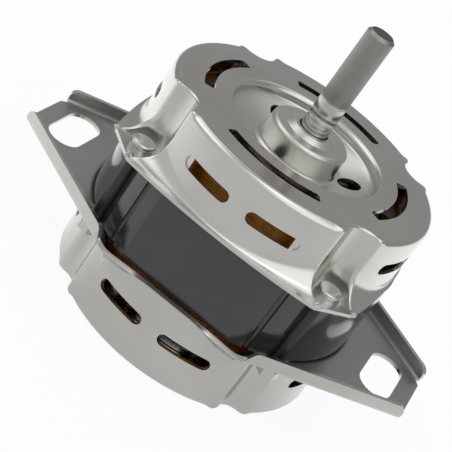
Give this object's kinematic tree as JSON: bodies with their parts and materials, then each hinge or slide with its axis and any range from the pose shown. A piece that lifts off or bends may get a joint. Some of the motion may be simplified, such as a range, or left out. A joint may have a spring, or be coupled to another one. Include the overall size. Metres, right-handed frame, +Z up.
{
  "type": "washing machine motor",
  "caption": "Washing machine motor with vented pressed end shields, an exposed lamination stack, slotted mounting ears and a plain upright shaft end.",
  "frame": {"origin": "on the shaft axis, in the plane of the resting face under the lower shield", "axes": "+Z up along the shaft towards its free end, +X along the right mounting ear, +Y away from the viewer of the picture"},
  "size_m": [0.1608, 0.1034, 0.1228],
  "materials": {
    "upper_shield_steel": "bright zinc plated sheet",
    "lower_shield_steel": "bright zinc plated sheet",
    "stack_steel": "glossy dark varnish on laminations",
    "rotor_steel": "dark annealed laminations",
    "enamelled_copper": "brown lacquered winding wire",
    "insulation_paper": "matt insulating film",
    "slot_wedge": "matt glass laminate",
    "tie_tape": "woven tape",
    "protector_case": "matt moulded case",
    "cast_aluminium": "die cast",
    "shaft_steel": "ground steel with polished seats",
    "bearing_steel": "polished bearing steel",
    "ball_cage_brass": "pressed brass",
    "spring_steel": "hardened strip",
    "fastener_steel": "bright zinc plated",
    "grommet_rubber": "matt black rubber"
  },
  "bodies": {
    "housing": {"lower_end_shield": "lower_shield_steel", "upper_end_shield": "upper_shield_steel", "stator_core": "stack_steel", "slot_liners": "insulation_paper", "slot_wedges": "slot_wedge", "main_winding": "enamelled_copper", "auxiliary_winding": "enamelled_copper", "upper_turns": "enamelled_copper", "lower_turns": "enamelled_copper", "phase_insulation": "insulation_paper", "winding_ties": "tie_tape", "thermal_protector": "protector_case", "upper_bearing_outer_ring": "bearing_steel", "upper_bearing_shields": "spring_steel", "lower_bearing_outer_ring": "bearing_steel", "lower_bearing_shields": "spring_steel", "preload_spring": "spring_steel", "tie_bolts": "fastener_steel", "tie_bolt_washers": "fastener_steel", "lock_washers": "spring_steel", "tie_bolt_nuts": "fastener_steel", "lead_grommet": "grommet_rubber"},
    "rotor": {"rotor_core": "rotor_steel", "rotor_cage": "cast_aluminium", "shaft": "shaft_steel", "upper_bearing_inner_ring": "bearing_steel", "lower_bearing_inner_ring": "bearing_steel"},
    "upper_ball_set": {"upper_bearing_balls": "bearing_steel", "upper_bearing_cage": "ball_cage_brass"},
    "lower_ball_set": {"lower_bearing_balls": "bearing_steel", "lower_bearing_cage": "ball_cage_brass"}
  },
  "joints": [
    {"name": "rotor_spin", "type": "hinge", "parent": "housing", "child": "rotor", "pos_m": [0, 0, 0.05], "axis": [0, 0, 1], "continuous": true},
    {"name": "upper_cage_spin", "type": "hinge", "parent": "housing", "child": "upper_ball_set", "pos_m": [0, 0, 0.07685], "axis": [0, 0, 1], "continuous": true},
    {"name": "lower_cage_spin", "type": "hinge", "parent": "housing", "child": "lower_ball_set", "pos_m": [0, 0, 0.0072], "axis": [0, 0, 1], "continuous": true}
  ],
  "couplings": [
    {"joint": "upper_cage_spin", "follows": "rotor_spin", "ratio": 0.36772},
    {"joint": "lower_cage_spin", "follows": "rotor_spin", "ratio": 0.36772}
  ]
}
